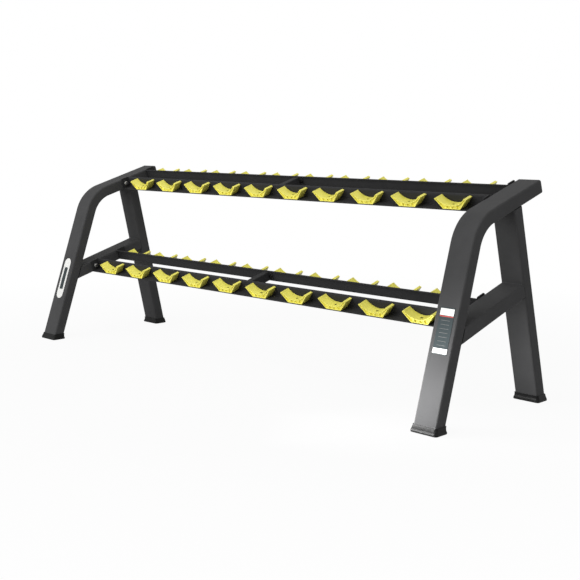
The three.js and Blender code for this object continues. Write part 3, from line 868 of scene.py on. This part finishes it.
# Each finish: base colour, worn colour, (smoothest, roughest), specular, metallic, scales of the
# grain and the patches, tone between patches, depth of the grain, wear, its reach from the edges,
# share of the dust, coat. A colour is a value, or the name of one in RackFinishes. A worn colour
# of two numbers is a gain and a lift on the base colour.
POWDER_COAT = ("frame_wear", (0.54, 0.64), 0.03, 0, 1400, 7, 0.10, 5e-5, 0.6, 0.0015, 1, 0)
PRINT = ((1.1, 0.02), (0.34, 0.44), 0.2, 0, 2200, 80, 0.05, 1e-5, 0.3, 0.0004, 0, 0.05)
FINISHES = {
    "charcoal_powder_coat": ("frame", *POWDER_COAT),
    # Rails and braces: the frame's powder coat, with a darker colour as painted shade of their
    # shadowed webs.
    "rail_coat_darkened_as_painted_shade": ("rail", *POWDER_COAT),
    "painted_weld": (
        "frame", "frame_wear", (0.52, 0.64), 0.05, 0, 420, 120, 0.16, 22e-5, 0.3, 0.0008, 0, 0),
    "yellow_moulded_plastic": (
        "cradle", (1.12, 0), (0.34, 0.46), 0.5, 0, 1800, 34, 0.05, 4e-5, 0.55, 0.0008, 0.5, 0),
    "black_boot_rubber": (
        "boot", (0.03,) * 3, (0.36, 0.46), 0.12, 0, 700, 45, 0.25, 10e-5, 0.5, 0.0015, 1.5, 0),
    "black_cap_plastic": (
        "cap", (0.05,) * 3, (0.42, 0.54), 0.18, 0, 1500, 60, 0.15, 6e-5, 0.4, 0.001, 0, 0),
    "zinc_plated_steel": (
        "zinc", (0.8, 0.8, 0.78), (0.26, 0.42), 0.5, 1, 1100, 260, 0.12, 3e-5, 0.4, 0.0006, 0, 0),
    "black_oxide_steel": (
        "oxide", (0.22, 0.21, 0.2), (0.34, 0.5), 0.5, 1, 1300, 300, 0.2, 3e-5, 0.5, 0.0005, 0, 0),
    "screw_socket_shadow": (
        (0.006,) * 3, (0.02,) * 3, (0.6, 0.8), 0.5, 0, 1300, 300, 0.08, 6e-5, 0.2, 0.0004, 0, 0),
    "panel_pale_print": ("pale", *PRINT),
    "panel_dark_print": ("dark", *PRINT),
    "panel_red_print": ("red", *PRINT),
    "panel_grey_print": ((0.1288, 0.1306, 0.1276), *PRINT),
}


def rgba(colour, base=None):
    """A colour by its value, by its name in RackFinishes, or by gain and lift on another."""
    if isinstance(colour, str):
        colour = getattr(bpy.context.scene.rack_finishes, colour)
    elif len(colour) == 2:
        gain, lift = colour
        colour = [min(1, c * gain + lift) for c in rgba(base)[:3]]
    return (*colour, 1.0)


def finish(name):
    """A procedural finish: toned base colour, worn edges, dust, uneven gloss and grain."""
    material = bpy.data.materials.get(name)
    if material:
        return material
    (base, worn, roughness, specular, metallic, grain_scale, patch_scale, tone, bump, wear, reach,
     dust, coat) = FINISHES[name]
    material = bpy.data.materials.new(name)
    wiring = Wiring(material)
    grain = wiring.group("Rack grain", {"Grain scale": grain_scale, "Patch scale": patch_scale})
    toned = wiring.mix(grain["Patches"], rgba((1 - tone, 0), base), rgba((1 + tone, 0), base))
    edges = wiring.group("Rack edge wear", {"Reach": reach, "Amount": wear})
    toned = wiring.mix(edges["Mask"], toned, rgba(worn, base))
    gloss = wiring.mapped(grain["Patches"], 0, 1, *roughness)
    if dust:
        amount = dust * bpy.context.scene.rack_finishes.dust
        settled = wiring.group("Rack dust", {"Amount": amount})["Mask"]
        toned = wiring.mix(settled, toned, DUST_COLOUR)
        gloss = wiring.math("ADD", gloss, wiring.math("MULTIPLY", settled, 0.5))
    relief = wiring.add("ShaderNodeBump", {
        "Strength": 1.0, "Distance": bump, "Height": grain["Grain"]})
    wiring.surface(wiring.add("ShaderNodeBsdfPrincipled", {
        "Base Color": toned, "Roughness": gloss, "Normal": relief.outputs["Normal"],
        "Metallic": metallic, "Specular IOR Level": specular, "Coat Weight": coat,
        "Coat Roughness": COAT_ROUGHNESS}))
    return material


# ---- operators


class RackStep(bpy.types.Operator):
    """What the steps of the build share; a failing step raises its error."""
    bl_options = {"REGISTER", "UNDO"}


class RACK_OT_end_frames(RackStep):
    """Builds the bent uprights, rear legs, cross arms and their welds"""
    bl_idname = "rack.end_frames"
    bl_label = "End frames"

    def execute(self, context):
        scene, layout = context.scene, Layout(context.scene)
        tube = scene.rack_frame
        for side in SIDES:
            place = shift((layout.side_x[side], 0, 0))
            for part, shape in (("bent_upright", bent_tube), ("rear_leg", rear_leg),
                                ("cross_arm", cross_arm)):
                add_piece(f"{part}_tube_{side}", shape(tube, layout), place,
                          ["charcoal_powder_coat"], "frame", f"{part}_{side}")
            add_piece(f"frame_welds_{side}", frame_welds(tube, layout), place,
                      ["painted_weld"], "frame")
        return {"FINISHED"}


class RACK_OT_boots(RackStep):
    """Builds the four flared boots and the arm end caps"""
    bl_idname = "rack.boots"
    bl_label = "Boots and caps"

    def execute(self, context):
        scene, layout = context.scene, Layout(context.scene)
        tube, boots = scene.rack_frame, scene.rack_boots
        for side in SIDES:
            x = layout.side_x[side]
            for leg, foot, lean in (("front", layout.front_foot, tube.front_lean),
                                    ("rear", layout.rear_foot, -tube.rear_lean)):
                add_piece(f"boot_{leg}_{side}_moulding", boot_shape(tube, boots, lean),
                          shift(foot + AXIS_X * x), ["black_boot_rubber"], "boot",
                          f"boot_{leg}_{side}")
            add_piece(f"arm_end_cap_{side}_moulding", cap_shape(tube, boots),
                      shift((x, 0, 0)) @ layout.tier("upper"), ["black_cap_plastic"], "cap",
                      f"arm_end_cap_{side}")
        return {"FINISHED"}


class RACK_OT_rails(RackStep):
    """Builds the folded rails with their end plates, and the bolts that hold them"""
    bl_idname = "rack.rails"
    bl_label = "Rails"

    def execute(self, context):
        scene, layout = context.scene, Layout(context.scene)
        rails, cradles = scene.rack_rails, scene.rack_cradles
        spot = Vector((0, cradles.depth / 2 - RAIL_BOLT_INSET, -rails.height / 2))
        for row in ROWS:
            half = span(f"rail_{row}").x / 2
            place = layout.row(row)
            add_piece(f"rail_{row}_folded", rail_shape(rails, cradles, half), place,
                      ["rail_coat_darkened_as_painted_shade"], "frame", f"rail_{row}")
            bolts = copies(hex_bolt(rails), [
                shift(spot + AXIS_X * side * (half - rails.end_plate))
                @ rotate(-side * QUARTER, "Y") for side in (-1, 1)])
            add_piece(f"rail_bolts_{row}", bolts, place, ["zinc_plated_steel"], "frame")
        return {"FINISHED"}


class RACK_OT_braces(RackStep):
    """Builds the centre braces and their bolts"""
    bl_idname = "rack.braces"
    bl_label = "Centre braces"

    def execute(self, context):
        scene, layout = context.scene, Layout(context.scene)
        rails = scene.rack_rails
        inner = rails.spread / 2 - rails.sheet - CLEARANCE - rails.flange
        x = (rails.flange_width + rails.brace_width) / 4
        z = -rails.sheet - CLEARANCE - rails.brace_height * BRACE_BOLT_DROP
        small = Matrix.Scale(BRACE_BOLT_SCALE, 4)
        for tier in TIERS:
            place = layout.tier(tier) @ shift((0, -layout.setback[tier] - rails.spread / 2, 0))
            add_piece(f"centre_brace_{tier}_folded", brace_shape(rails), place,
                      ["rail_coat_darkened_as_painted_shade"], "frame", f"centre_brace_{tier}")
            bolts = copies(hex_bolt(rails), [
                shift((side * x, end * inner, z)) @ rotate(end * QUARTER, "X") @ small
                for end in (-1, 1) for side in (-1, 1)])
            add_piece(f"brace_bolts_{tier}", bolts, place, ["black_oxide_steel"], "frame")
        return {"FINISHED"}


class RACK_OT_cradles(RackStep):
    """Builds the moulded cradles and their screws"""
    bl_idname = "rack.cradles"
    bl_label = "Cradles"

    def execute(self, context):
        scene, layout = context.scene, Layout(context.scene)
        rails, cradles = scene.rack_rails, scene.rack_cradles
        moulding = cradle_shape(cradles, rails)
        for row in ROWS:
            seats = []
            for i in range(cradles.per_rail):
                name = f"{row}_{i + 1:02d}"
                place = cradle_place(name, layout, cradles, rails)
                add_piece(f"cradle_{name}_moulding", moulding.copy(), place,
                          ["yellow_moulded_plastic"], "cradle", f"cradle_{name}")
                seats.append(place @ screw_seat(cradles))
            add_piece(f"cradle_screws_{row}", copies(socket_screw(cradles), seats), Matrix(),
                      ["black_oxide_steel", "screw_socket_shadow"], "frame")
        moulding.free()
        return {"FINISHED"}


# Each panel: leg, height up it, plate (width, height, corner), finishes and bands. A band is
# (middle height, width, height, number of its finish).
PANELS = {
    "notice_panel": (
        "right", 0.348, (0.062, 0.165, 0.003),
        ["panel_dark_print", "panel_pale_print", "panel_red_print", "panel_grey_print"],
        [(0.066, 0.058, 0.024, 1), (0.0505, 0.058, 0.0035, 2), (-0.0705, 0.060, 0.018, 1)]
        + [(0.036 - 0.0145 * i, 0.036, 0.0012, 3) for i in range(7)]),
    "badge_panel": (
        "left", 0.300, (0.050, 0.203, 0.0245), ["panel_pale_print", "panel_dark_print"],
        [(0, 0.027, 0.110, 1)]),
}


class RACK_OT_panels(RackStep):
    """Builds the bare notice panel and the plain badge on the front legs"""
    bl_idname = "rack.panels"
    bl_label = "Panels"

    def execute(self, context):
        scene, layout = context.scene, Layout(context.scene)
        facing = rotate(QUARTER - scene.rack_frame.front_lean, "X")
        for name, (side, height, plate, finishes, bands) in PANELS.items():
            spot = layout.front_foot + layout.front * height + above(layout.front) * layout.half
            place = shift(spot + AXIS_X * layout.side_x[side]) @ facing
            add_piece(name, panel_plate(*plate, bands), place, finishes, "cap")
        return {"FINISHED"}


class RACK_OT_stage(RackStep):
    """Sets up the floor, lamps, white background and camera"""
    bl_idname = "rack.stage"
    bl_label = "Stage"

    def execute(self, context):
        scene = context.scene
        plane = bmesh.new()
        bmesh.ops.create_grid(plane, x_segments=1, y_segments=1, size=FLOOR_REACH)
        studio = new_object("studio_floor", move(plane, shift((0, 0, -FLOOR_GAP))))
        studio.data.materials.append(floor_paint(scene.rack_finishes.floor))
        white_world(scene)
        for lamp in LAMPS:
            add_lamp(*lamp)
        add_camera(scene)
        scene.view_settings.view_transform = "Standard"
        return {"FINISHED"}


# ---- stage


# Each lamp: name, place, what it points at, width and height, watts, degrees of spread.
LAMPS = [
    ("overhead_softbox", (0, -2.2, 3.0), (0, 0, 0.5), (4.5, 2.2), 56.0, 180),
    ("front_softbox", (-1.8, -4.4, 1.1), (0, 0, 0.5), (3.2, 1.6), 95.0, 180),
    ("side_softbox", (4.2, -1.0, 1.6), (0.6, 0, 0.5), (1.8, 1.8), 12.0, 180),
    ("low_gridded_box", (0.62, -0.75, 0.12), (1.166, -0.31, 0.14), (0.4, 0.15), 3.0, 50),
]
FLOOR_REACH = 40
FLOOR_GAP = 0.0004
SHADOW_NEAR = 1.2  # the floor keeps its shadow this far from the rack's middle
SHADOW_FAR = 3.0  # and is plain white from here
SHADOW_WHITENESS = 0.94
SKY_LIGHT = 0.45
WHITE = (1, 1, 1, 1)


def seen_rays(wiring):
    """1 for the rays that show the white background, 0 for those that light the rack."""
    rays = wiring.add("ShaderNodeLightPath").outputs
    seen = wiring.math("MAXIMUM", rays["Is Camera Ray"], rays["Is Glossy Ray"])
    return wiring.math("MAXIMUM", seen, rays["Is Transmission Ray"])


def floor_paint(base):
    """Pale floor that shows near white to the camera and keeps the rack's shadow."""
    material = bpy.data.materials.new("studio_floor_paint")
    wiring = Wiring(material)
    paint = wiring.add("ShaderNodeBsdfDiffuse", {"Color": rgba(base)})
    glow = wiring.add("ShaderNodeEmission", {"Color": WHITE, "Strength": 1.0})
    place = wiring.add("ShaderNodeTexCoord").outputs["Object"]
    away = wiring.add("ShaderNodeVectorMath", {0: place}, operation="LENGTH").outputs["Value"]
    whiteness = wiring.mapped(away, SHADOW_NEAR, SHADOW_FAR, SHADOW_WHITENESS, 1.0)
    lift = wiring.math("MULTIPLY", seen_rays(wiring), whiteness)
    wiring.surface(wiring.add("ShaderNodeMixShader", {
        0: lift, 1: paint.outputs[0], 2: glow.outputs[0]}))
    return material


def white_world(scene):
    """White where it is seen, and a soft even light elsewhere."""
    scene.world = bpy.data.worlds.new("studio_world")
    wiring = Wiring(scene.world)
    strength = wiring.mapped(seen_rays(wiring), 0, 1, SKY_LIGHT, 1.0)
    wiring.surface(wiring.add("ShaderNodeBackground", {"Color": WHITE, "Strength": strength}),
                   "World")


def add_lamp(name, place, target, size, watts, spread):
    lamp = bpy.data.lights.new(name, "AREA")
    lamp.shape = "RECTANGLE"
    lamp.size, lamp.size_y = size
    lamp.energy = watts
    lamp.spread = math.radians(spread)
    aim = (Vector(target) - Vector(place)).to_track_quat("-Z", "Y")
    new_object(name, lamp, shift(place) @ aim.to_matrix().to_4x4()).visible_camera = False


CAMERA_PLACE = (3.3190, -3.1367, 1.0203)
CAMERA_AZIMUTH = math.radians(45)
CAMERA_ELEVATION = math.radians(3.388)
CAMERA_SENSOR = 36.0
CAMERA_LENS = 65.11
CAMERA_SHIFT = (0.0, -0.1647)
CAMERA_REACH = 200


def add_camera(scene):
    """Camera off the rack's right front corner, turned by azimuth and elevation."""
    data = bpy.data.cameras.new("studio_camera")
    data.sensor_width = CAMERA_SENSOR
    data.lens = CAMERA_LENS
    data.shift_x, data.shift_y = CAMERA_SHIFT
    data.clip_end = CAMERA_REACH
    scene.camera = new_object(
        "studio_camera", data, shift(CAMERA_PLACE) @ rotate(CAMERA_AZIMUTH, "Z")
        @ rotate(QUARTER - CAMERA_ELEVATION, "X"))


# ---- panel and registration


class RACK_PT_build(bpy.types.Panel):
    """Sidebar panel with the rack's sizes, colours and build steps"""
    bl_idname = "RACK_PT_build"
    bl_label = "Dumbbell rack"
    bl_space_type = "VIEW_3D"
    bl_region_type = "UI"
    bl_category = "Rack"

    def draw(self, context):
        for step in STEPS:
            self.layout.operator(step.bl_idname)
        for name, sizes in GROUPS.items():
            box = self.layout.box()
            for key in sizes.__annotations__:
                box.prop(getattr(context.scene, name), key)


STEPS = (RACK_OT_end_frames, RACK_OT_boots, RACK_OT_rails, RACK_OT_braces, RACK_OT_cradles,
         RACK_OT_panels, RACK_OT_stage)
GROUPS = {
    "rack_frame": RackFrameSizes, "rack_boots": RackBootSizes, "rack_rails": RackRailSizes,
    "rack_cradles": RackCradleSizes, "rack_finishes": RackFinishes}
CLASSES = (*GROUPS.values(), *STEPS, RACK_PT_build)


def register():
    for cls in CLASSES:
        bpy.utils.register_class(cls)
    for name, cls in GROUPS.items():
        setattr(bpy.types.Scene, name, PointerProperty(type=cls))


def unregister():
    for name in GROUPS:
        delattr(bpy.types.Scene, name)
    for cls in reversed(CLASSES):
        bpy.utils.unregister_class(cls)


def main():
    register()
    bpy.ops.rack.end_frames()
    bpy.ops.rack.boots()
    bpy.ops.rack.rails()
    bpy.ops.rack.braces()
    bpy.ops.rack.cradles()
    bpy.ops.rack.panels()
    bpy.ops.rack.stage()


if __name__ == "__main__":
    main()
